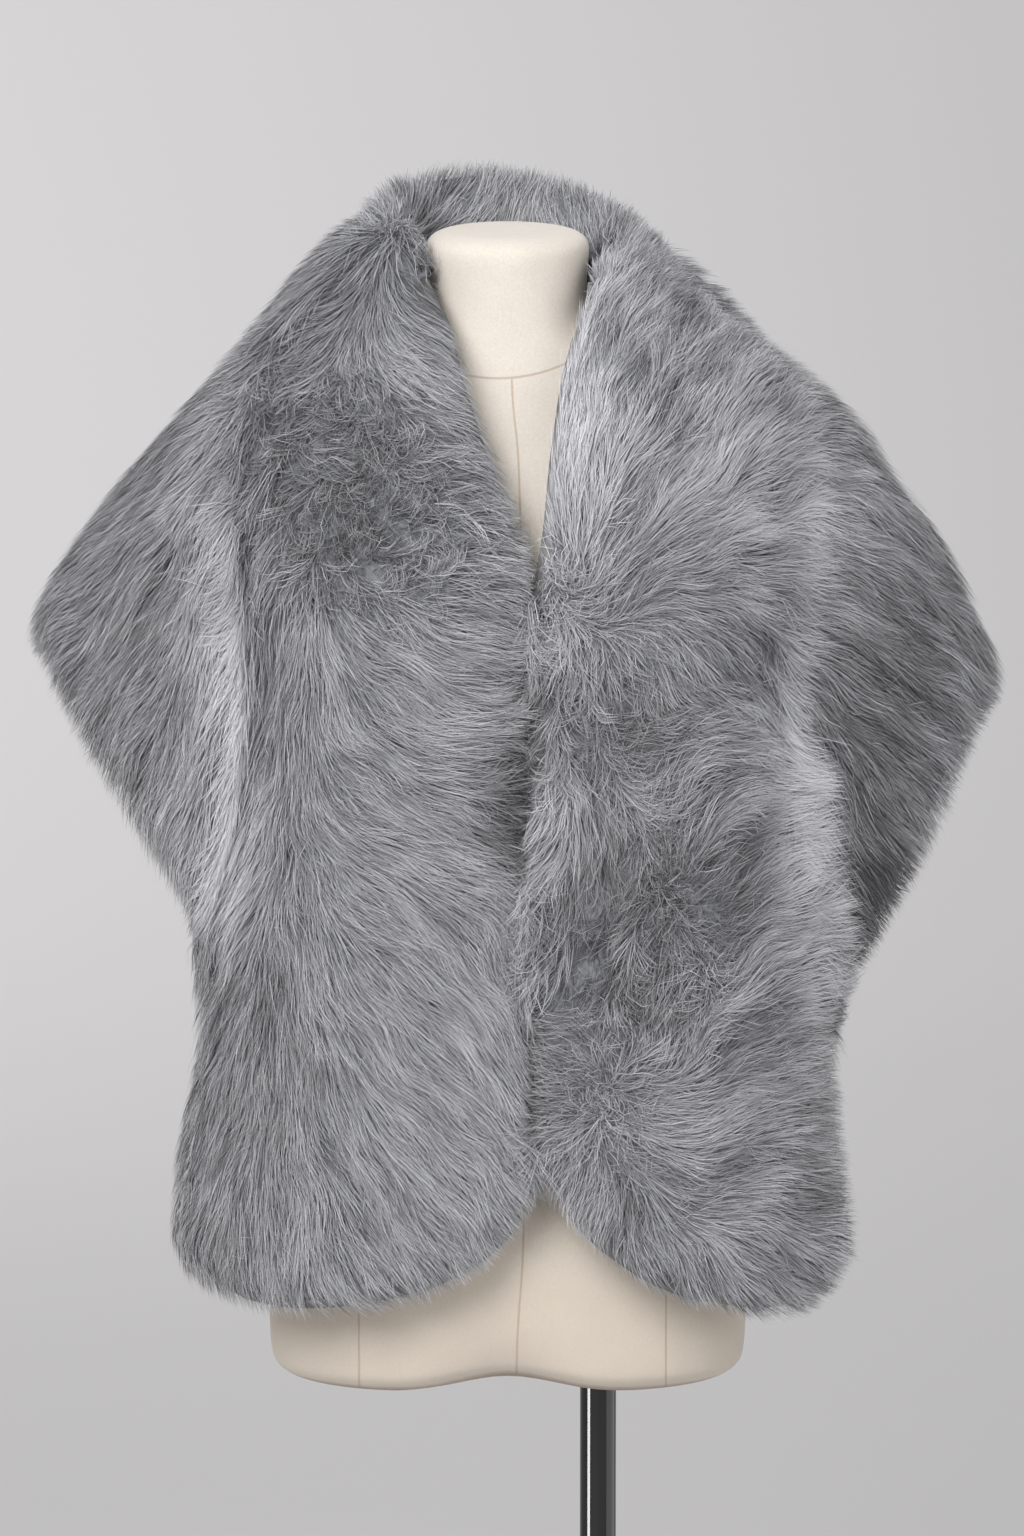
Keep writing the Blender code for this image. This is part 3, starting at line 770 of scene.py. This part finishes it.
def ribbons(name, corners, tone, shade):
    """One mesh of flat ribbons, four triangles each, with tone and level as their map."""
    count = len(corners)
    faces = np.arange(count)[:, None, None] * HAIR_CORNERS + HAIR_PATTERN[None]
    faces = faces.reshape(-1, 3)
    column = np.clip(np.round(tone * TONE_STEPS), 0, TONE_STEPS - 1)
    left, right = column / TONE_STEPS, (column + 1) / TONE_STEPS
    middle = (left + right) / 2
    across = np.stack([middle, left, left, right, right, middle], axis=1)
    up = np.repeat(HAIR_LEVELS[None, CORNER_LEVELS], count, axis=0)
    places = np.stack([across, up], axis=2).reshape(-1, 2)

    mesh = bpy.data.meshes.new(name)
    mesh.vertices.add(count * HAIR_CORNERS)
    mesh.vertices.foreach_set("co", corners.ravel())
    mesh.loops.add(faces.size)
    mesh.loops.foreach_set("vertex_index", faces.ravel())
    mesh.polygons.add(len(faces))
    mesh.polygons.foreach_set("loop_start", np.arange(0, faces.size, 3))
    mesh.update()
    layer = mesh.uv_layers.new(name="OFBake")
    layer.uv.foreach_set("vector", places[faces.ravel()].ravel())
    made = shown(name, mesh, guard_hair_finish)
    mesh.normals_split_custom_set_from_vertices(unit(shade).reshape(-1, 3))
    return made


def grow(node, direction_at, count, length, rough, seam_fill):
    """Hair on a pelt.

    Each hair walks along the combed direction, rising from the underfur to the fur's top, and
    keeps to that surface. Its tip is drawn towards the middle hair of its lock, and a tuft of
    many locks lies higher or lower.
    """
    root, root_normal, long, at_seam, crossing = rooted(node, direction_at, count, length)
    deep = np.where(crossing, SEAM_ROOT, UNDERFUR_DEPTH)
    matted = np.clip(patch_share(root, PATCH_MATTED), 0, 1)
    locks, lock = gathered(root, LOCK_HAIRS)
    tufts, tuft = gathered(root, TUFT_HAIRS)
    ridge = np.clip(streaks(root, root_normal, direction_at, RIDGE_LENGTH, 11), -2, 2)
    fine = streaks(root, root_normal, direction_at, FINE_LENGTH, 13)
    tuft_height = np.clip(rng.normal(0, 1, len(tufts)), -TUFT_MOST, TUFT_MOST)[tuft]
    high = rough * ridge + tuft_height * (TUFT_HEIGHT[0] + TUFT_HEIGHT[1] * matted)
    stray = rng.random(count) < STRAY_SHARE
    unruly = 1 - direction_at(root, root_normal)[1]
    short = ~stray & (rng.random(count) < SHORT_SHARE + SHORT_UNRULY * unruly)
    long *= 1 - MATTED_SHORTER * matted
    long[short] *= SHORT_LENGTH
    reach = TIP_HEIGHT + TIP_RIDGE * high + rng.normal(0, TIP_SPREAD, count)
    reach += seam_fill * at_seam + patch_share(root, PATCH_HIGHER) * MM
    reach[stray] = rng.uniform(0, STRAY_HEIGHT, stray.sum())
    reach[short] -= SHORT_LOWER * (1 - unruly[short])
    swirl = rng.normal(0, TURN_TUFT, len(tufts))[tuft] + rng.normal(0, TURN_HAIR, count)
    swirl += rng.normal(0, TURN_CROSSING, count) * crossing
    swirl += rng.normal(0, TURN_MATTED, len(locks))[lock] * matted
    swirl += rng.normal(0, TURN_SHORT, count) * short
    curl = rng.normal(0, CURL_MATTED, len(locks))[lock] * matted
    curl += rng.normal(0, CURL_HAIR, count)

    # The walk from level to level.
    line = [root - root_normal * ROOT_DEPTH]
    normal = root_normal
    normals = [root_normal]
    for level in range(1, len(HAIR_LEVELS)):
        way, agree, leaving = direction_at(line[-1], normal)
        loose = swirl * (1 + LOOSER * (1 - agree)) + curl * (level - 1)
        loose += WAVE[0] * waves(line[-1], WAVE[1], 3)
        step = (HAIR_LEVELS[level] - HAIR_LEVELS[level - 1]) * long[:, None]
        place = line[-1] + turned(way, normal, loose) * step
        top = np.empty_like(place)
        top_normal = np.empty_like(place)
        for k, point in enumerate(place):
            top[k], top_normal[k] = fur_top.find_nearest(Vector(point))[:2]
        proud = ((place - top) * top_normal).sum(axis=1)
        wanted = reach - deep * (1 - HAIR_LEVELS[level]) ** RISE
        drawn_in = -DRAWN_IN * (1 - leaving) ** 2
        place += top_normal * np.clip(wanted - proud, drawn_in, DRAWN_OUT)[:, None]
        line.append(place)
        normal = unit(root_normal + top_normal)
        normals.append(unit(ROOT_HOLD * root_normal + top_normal))

    # What hangs too far past an edge or into an opening is drawn back, and locks close.
    past = np.linalg.norm(line[-1] - top, axis=1)
    fringe = FRINGE * rng.uniform(*FRINGE_SPREAD, count)
    own_top = BVHTree.FromPolygons(shapes[node][0].tolist(), pelts[node][2].tolist())
    for opening in (NECK_OPENING, HEM_OPENING):
        here = beside(opening, root)
        fringe[here] *= opening[-1]
        for k in np.flatnonzero(here):
            past[k] = max(past[k], own_top.find_nearest(Vector(line[-1][k]))[3])
    kept = 1 - np.clip(CUT_BACK[0] * (past - fringe) / long, 0, CUT_BACK[1])
    line = np.stack(line, axis=1)
    line = line[:, :1] + (line - line[:, :1]) * kept[:, None, None]
    pull = rng.uniform(*LOCK_PULL, len(locks))[lock][:, None, None]
    pull = pull * HAIR_LEVELS[None, :, None] ** LOCK_CURVE
    loose_end = np.where(stray, 0, 1 - LOCK_EDGE * leaving)[:, None, None]
    line += (line[locks[lock]] - line) * pull * loose_end

    # Ribbons that face away from the body, each rolled a little.
    direction = np.gradient(line, axis=1)
    body_out = root - CHEST
    body_out[:, 2] = np.maximum(body_out[:, 2], 0)
    body_out = unit(body_out)[:, None, :]
    normals = np.stack(normals, axis=1)
    side = unit(np.cross(direction, normals + FACE_OUT * body_out))
    out = unit(np.cross(side, direction))
    roll = rng.uniform(-ROLL, ROLL, count)[:, None, None]
    side = side * np.cos(roll) + out * np.sin(roll)
    thick = rng.uniform(*THICKNESS, count) * np.where(stray, STRAY_THIN, 1)
    half = side[:, 1:3] * (HAIR_WIDTHS / 2)[None, :, None] * thick[:, None, None]
    edges = [line[:, :1], line[:, 1:3] - half, line[:, 1:3] + half, line[:, 3:]]

    # Patch tone: matted places darker, painted highlights on rolled edges, painted shade on the
    # left wing.
    change = patch_share(root, PATCH_TONE_AND_LIGHT)
    # Painted light and shade: paler where the hair stands high, darker in its hollows.
    tone = TONE_MIDDLE + change + TONE_HIGH_PAINTED_LIGHT * high
    tone += TONE_BROAD[0] * waves(root, TONE_BROAD[1], 5) + TONE_FINE * fine
    mixed = rng.normal(0, TONE_LOCK, len(locks))[lock] + rng.normal(0, TONE_HAIR, count)
    tone += mixed * (1 - TONE_EVEN[0] * np.clip(change, 0, TONE_EVEN[1]))
    # Painted light over the seams, against the shade in their valleys.
    tone += SEAM_PAINTED_LIGHT * crossing

    ways_out = np.array((0, -SHADE_SPREAD, -SHADE_SPREAD, SHADE_SPREAD, SHADE_SPREAD, 0))
    shade = SHADE_SURFACE * normals[:, [0, 1, 1, 2, 2, 3]]
    shade += np.where(crossing, 2 * SHADE_BODY, SHADE_BODY)[:, None, None] * body_out
    shade += side[:, CORNER_LEVELS] * ways_out[None, :, None] + out[:, CORNER_LEVELS]
    shade += rng.normal(0, SHADE_LEAN, (count, 1, 3))
    shade += rng.normal(0, SHADE_LEAN, (len(tufts), 1, 3))[tuft]

    hair = ribbons("hair_" + node, np.concatenate(edges, axis=1), tone, shade)
    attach(hair, "root")
    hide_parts(node)


# Right front: a long panel. A parting runs down it near the wing. Outside the parting the hair
# falls outwards, inside it the hair sweeps in towards the middle and lower down to the hem.
COMB_FRONT_RIGHT = (
    (1515, ((-120, 185), (-95, 250), (-70, 285))),
    (1490, ((-125, 215), (-105, 262), (-90, 290), (-72, 303))),
    (1450, ((-135, 230), (-115, 268), (-95, 288), (-75, 312), (-55, 325), (-40, 310))),
    (1408, ((-150, 248), (-125, 275), (-100, 290), (-75, 345), (-50, 345), (-25, 330))),
    (1368, ((-160, 235), (-130, 212), (-100, 190), (-72, 5), (-45, 350), (-20, 338))),
    (1325, ((-145, 235), (-125, 262), (-105, 300), (-80, 320), (-50, 0), (-20, 350))),
    (1284, ((-150, 238), (-135, 262), (-115, 325), (-90, 342), (-50, 338), (-15, 345))),
    (1248, ((-155, 252), (-135, 285), (-115, 312), (-85, 325), (-50, 328), (-15, 350))),
    (1212, ((-150, 257), (-130, 300), (-105, 320), (-70, 332), (-35, 335), (-10, 15))),
    (1174, ((-175, 250), (-150, 250), (-120, 320), (-90, 335), (-60, 340), (-30, 345), (-5, 0))),
    (1137, ((-165, 245), (-135, 320), (-105, 342), (-75, 347), (-45, 345), (-20, 330))),
    (1099, ((-165, 243), (-148, 275), (-125, 322), (-95, 332), (-60, 332), (-30, 328), (-5, 340))),
    (1061, ((-200, 238), (-178, 245), (-155, 278), (-130, 308), (-100, 325), (-65, 322),
            (-35, 312), (-10, 300))),
    (1024, ((-213, 235), (-193, 243), (-172, 262), (-150, 287), (-125, 305), (-97, 315),
            (-60, 316), (-20, 306))),
    (982, ((-213, 237), (-193, 246), (-172, 268), (-150, 286), (-125, 300), (-95, 312), (-40, 314),
            (-5, 309))),
    (945, ((-215, 240), (-193, 250), (-172, 270), (-150, 285), (-115, 305), (-60, 313),
            (-10, 312))),
    (907, ((-230, 237), (-213, 250), (-193, 262), (-172, 273), (-150, 285), (-115, 298),
            (-60, 310), (0, 313))),
    (869, ((-230, 240), (-210, 252), (-190, 263), (-165, 280), (-135, 290), (-95, 299), (-55, 306),
            (-10, 308))),
    (831, ((-230, 255), (-195, 270), (-155, 283), (-115, 296), (-75, 303), (-35, 305))),
    (795, ((-215, 268), (-185, 278), (-155, 285), (-115, 293), (-75, 300))),
)

# Left front: the hair radiates from the foot of the neckline up over the lapel and out to the
# shoulder, and lower down from three crowns, with matted places between them.
COMB_FRONT_LEFT = (
    (1515, ((60, 85), (75, 65), (94, 42), (112, 30))),
    (1490, ((54, 92), (75, 70), (95, 42), (115, 45), (135, 50))),
    (1450, ((36, 92), (56, 90), (75, 75), (95, 60), (115, 58), (140, 60), (165, 50))),
    (1408, ((36, 100), (56, 90), (75, 68), (95, 65), (115, 60), (140, 58), (165, 50), (190, 35))),
    (1368, ((36, 100), (56, 88), (75, 55), (95, 50), (115, 50), (140, 42), (165, 35), (190, 12))),
    (1325, ((38, 110), (56, 70), (75, 40), (95, 35), (130, 28), (165, 10), (190, 0))),
    (1284, ((20, 290), (38, 300), (56, 60), (75, 50), (95, 20), (130, 0), (170, -12), (190, -15))),
    (1248, ((20, 268), (40, 268), (56, 262), (75, 275), (95, 290), (130, 300), (160, 303),
            (185, 312))),
    (1212, ((10, 240), (24, 275), (40, 268), (60, 290), (95, 310), (120, 350), (150, 345),
            (175, 312))),
    (1174, ((8, 205), (20, 225), (38, 300), (56, 300), (75, 305), (95, 72), (115, 50), (135, 25),
            (155, 18), (175, -25))),
    (1137, ((6, 195), (20, 225), (37, 272), (56, 272), (75, 278), (95, 280), (112, 68), (131, 50),
            (152, 35), (172, 18))),
    (1099, ((4, 188), (20, 215), (37, 265), (56, 270), (75, 268), (94, 262), (112, 85), (131, 62),
            (152, 38), (172, 22))),
    (1061, ((4, 185), (20, 205), (37, 270), (56, 278), (75, 240), (94, 232), (112, 262),
            (131, -30), (152, 28), (172, 20), (190, 10))),
    (1024, ((8, 180), (24, 190), (40, 250), (56, 275), (75, 265), (94, 240), (112, 240),
            (131, 235), (152, 45), (172, 38), (190, 18))),
    (982, ((20, 145), (37, 160), (56, 110), (75, 85), (94, 50), (112, 75), (131, 88), (152, 25),
            (172, 12), (200, 5))),
    (945, ((16, 180), (37, 190), (52, 200), (80, 20), (94, 0), (112, -15), (131, 42), (152, 20),
            (172, 7), (210, 0))),
    (907, ((37, 230), (56, 248), (75, 285), (94, 320), (112, 20), (131, 20), (152, 10), (180, 0),
            (215, -5))),
    (869, ((37, 235), (56, 255), (75, 268), (94, 270), (112, -10), (140, -7), (180, -12),
            (222, -3))),
    (831, ((56, 262), (94, 272), (112, 282), (131, 292), (152, 308), (180, 328), (215, -20))),
    (795, ((131, 285), (160, 290), (190, 310), (215, 320))),
)

# Wings: over the shoulders the hair runs out and down, steeper towards the fronts.
COMB_WING_RIGHT = (
    (1515, ((-150, 200), (-120, 185))),
    (1490, ((-155, 203),)),
    (1450, ((-205, 195), (-165, 195))),
    (1408, ((-250, 207), (-215, 210), (-180, 222), (-150, 248))),
    (1368, ((-285, 210), (-250, 215), (-220, 228), (-190, 242), (-160, 235))),
    (1325, ((-300, 212), (-265, 215), (-235, 232), (-205, 255), (-175, 240))),
    (1284, ((-310, 220), (-275, 220), (-245, 235), (-215, 252), (-180, 242))),
    (1248, ((-300, 228), (-265, 230), (-230, 247), (-190, 252), (-155, 252))),
    (1212, ((-285, 238), (-250, 232), (-215, 247), (-180, 258), (-150, 257))),
    (1174, ((-250, 245), (-215, 255), (-180, 262))),
    (1137, ((-230, 258), (-195, 266), (-165, 255))),
    (1099, ((-225, 258), (-190, 255))),
    (1061, ((-200, 250),)),
)
COMB_WING_LEFT = (
    (1515, ((120, 10),)),
    (1490, ((135, 5),)),
    (1450, ((165, 20), (190, 5))),
    (1408, ((190, 35), (215, 8), (240, -20))),
    (1368, ((190, 12), (215, 0), (240, -20), (262, -40))),
    (1325, ((200, 0), (235, -25), (275, -40))),
    (1284, ((190, -15), (210, -18), (250, -25), (290, -38))),
    (1248, ((190, -48), (225, -32), (265, -28), (300, -40))),
    (1212, ((175, -48), (200, -58), (240, -42), (285, -35))),
    (1174, ((180, -45), (205, -58), (235, -48), (270, -42))),
    (1137, ((195, -62), (225, -62), (250, -48))),
    (1099, ((195, -42), (225, -52), (247, -42))),
    (1061, ((190, -20), (215, -35))),
)

# Collar: the hair stands up out of the neck, fans over the top and falls behind it.
COMB_COLLAR = (
    (1575, ((-85, 120), (-45, 80), (0, 70), (40, 75), (80, 55), (105, 45))),
    (1545, ((-112, 160), (-90, 130), (-62, 60), (-20, 60), (20, 75), (50, 100), (75, 85), (95, 50),
            (115, 35))),
    (1530, ((-60, 30), (46, 125))),
    (1515, ((-120, 185), (-95, 210), (-70, 240), (-58, 330), (44, 130), (60, 85), (75, 65),
            (94, 42), (112, 30))),
)


def fan_behind(points, spread, least):
    """Down, and outwards by the distance from the middle over the spread, or by the least."""
    x = (points[:, 0] - FORM_MIDDLE) / spread
    out = np.sign(x) * np.maximum(np.abs(x), least)
    return unit(np.stack([out, np.zeros(len(x)), -np.ones(len(x))], axis=1))


def over_front(table, behind=None):
    """Directions by a comb table, and where the surface faces back, by a fan behind."""
    guides = combed(table)

    def direction_at(points, normals):
        way, agree = comb_field(points, guides)
        if behind:
            back = (normals[:, 1, None] - BACK_STARTS) / (BACK_FULL - BACK_STARTS)
            back = np.clip(back, 0, 1)
            way = way * (1 - back) + fan_behind(points, *behind) * back
            way[:, 1] += BACK_PUSH * (back * (1 - back))[:, 0]
            way = unit(way)
        way, leaving = laid_on(way, normals)
        return way, agree, leaving

    return direction_at


def on_back(points, normals):
    """Directions on the back, where all hair agrees."""
    way, leaving = laid_on(fan_behind(points, BACK_SPREAD, 0.0), normals)
    return way, np.ones(len(points)), leaving


# For each piece: the comb (with the spread and least of the fan behind), the number of hairs,
# their length, how strongly they rise in ridges, and how much higher they stand along seams.
HAIR = {
    "front_right": (over_front(COMB_FRONT_RIGHT), 49000, 50 * MM, 0.6, 4 * MM),
    "front_left": (over_front(COMB_FRONT_LEFT), 49000, 48 * MM, 1.4, 4 * MM),
    "wing_right": (over_front(COMB_WING_RIGHT, (260 * MM, 0.5)), 36000, 50 * MM, 0.7, 5 * MM),
    "wing_left": (over_front(COMB_WING_LEFT, (260 * MM, 0.5)), 36000, 50 * MM, 0.8, 3 * MM),
    "collar": (over_front(COMB_COLLAR, (400 * MM, 0.0)), 20000, 46 * MM, 0.5, 8 * MM),
    "back": (on_back, 30000, 52 * MM, 0.8, 4 * MM),
}
for node, (direction_at, count, length, rough, seam_fill) in HAIR.items():
    grow(node, direction_at, count, length, rough, seam_fill)

# ---------------------------------------------------------------------------------------------
# Studio. A pale grey paper floor that curves up into the backdrop, lit by a large soft box high
# on the left, a weak one on the right and a rim light from behind. Another soft box lights the
# backdrop, and two strips show only in the pole's gloss.
# ---------------------------------------------------------------------------------------------

SWEEP_WIDTH = 30.0
SWEEP_FRONT = -14.0
SWEEP_BACK = 12.0
SWEEP_HEIGHT = 11.0
SWEEP_BEND = 6.0
SWEEP_STEPS = 24
PAPER = "#CBC9C9"
ROOM = "#F2F3F5"  # the light from all sides
ROOM_STRENGTH = 0.54
CHEST_AIM = (FORM_MIDDLE, 0, 1.2)
# Name, place, aim, width, height, watts, and whether only gloss shows it.
LIGHTS = (
    ("key", (-1.7, -3.3, 3.5), CHEST_AIM, 2.4, 2.4, 190, False),
    ("fill", (2.6, -3.0, 1.8), CHEST_AIM, 2.5, 2.5, 38, False),
    ("rim", (0.4, 2.3, 3.6), CHEST_AIM, 2.2, 1.6, 15, False),
    ("backdrop", (-2.6, 5.5, 5.5), (-0.7, 10.5, 1.7), 3.0, 3.0, 235, False),
    ("pole edge", (-1.2, -0.76, 0.33), (0, 0, 0.33), 0.22, 0.7, 14, True),
    ("pole side", (1.3, 0.0, 0.3), (0, 0, 0.3), 1.5, 0.7, 4, True),
)
CAMERA_AIM = Vector((-60.9 * MM, 0, 1158 * MM))
CAMERA_FAR = 4.2
CAMERA_PITCH = math.radians(6)
LOOK = Vector((0, math.cos(CAMERA_PITCH), -math.sin(CAMERA_PITCH)))
SENSOR_TALL = 24.0
PICTURE_TALL = 1536 * 0.7 * MM  # height that the picture covers at the aim


def sweep():
    """A profile carried sideways: level floor, a quarter circle, and an upright wall."""
    turn = np.linspace(0, math.pi / 2, SWEEP_STEPS)
    bend_y = SWEEP_BACK - SWEEP_BEND + SWEEP_BEND * np.sin(turn)
    bend_z = SWEEP_BEND - SWEEP_BEND * np.cos(turn)
    y = np.concatenate([[SWEEP_FRONT], bend_y, [SWEEP_BACK]])
    z = np.concatenate([[0], bend_z, [SWEEP_HEIGHT]])
    x = np.array((-SWEEP_WIDTH / 2, SWEEP_WIDTH / 2))
    count = len(y)
    points = np.stack([np.repeat(x, count), np.tile(y, 2), np.tile(z, 2)], axis=1)
    near = np.arange(count - 1)
    faces = np.stack([near, near + count, near + count + 1, near + 1], axis=1)
    mesh = bpy.data.meshes.new("studio_sweep")
    mesh.from_pydata(points.tolist(), [], faces.tolist())
    return mesh


paper, tree = new_material("pale grey studio paper")
matte = add_node(tree, "ShaderNodeBsdfPrincipled", Base_Color=linear(PAPER), Roughness=1.0)
add_node(tree, "ShaderNodeOutputMaterial", Surface=matte.outputs[0])
backdrop = shown("studio_sweep", sweep(), paper)

for name, place, aim, wide, tall, watts, gloss_only in LIGHTS:
    lamp = bpy.data.lights.new(name, "AREA")
    lamp.shape = "RECTANGLE"
    lamp.size = wide
    lamp.size_y = tall
    lamp.energy = watts
    box = bpy.data.objects.new(name, lamp)
    box.location = place
    box.rotation_euler = (Vector(aim) - Vector(place)).to_track_quat("-Z", "Y").to_euler()
    box.visible_camera = False
    box.visible_diffuse = not gloss_only
    bpy.context.scene.collection.objects.link(box)

bpy.context.scene.view_settings.view_transform = "Standard"
world = bpy.data.worlds.new("room")
bpy.context.scene.world = world
world.use_nodes = True
glow = world.node_tree.nodes["Background"]
glow.inputs["Color"].default_value = linear(ROOM)
glow.inputs["Strength"].default_value = ROOM_STRENGTH

lens = bpy.data.cameras.new("camera")
lens.sensor_fit = "VERTICAL"
lens.sensor_height = SENSOR_TALL
lens.lens = SENSOR_TALL * CAMERA_FAR / PICTURE_TALL
camera = bpy.data.objects.new("camera", lens)
camera.rotation_euler = (math.pi / 2 - CAMERA_PITCH, 0, 0)
camera.location = CAMERA_AIM - CAMERA_FAR * LOOK
bpy.context.scene.collection.objects.link(camera)
bpy.context.scene.camera = camera
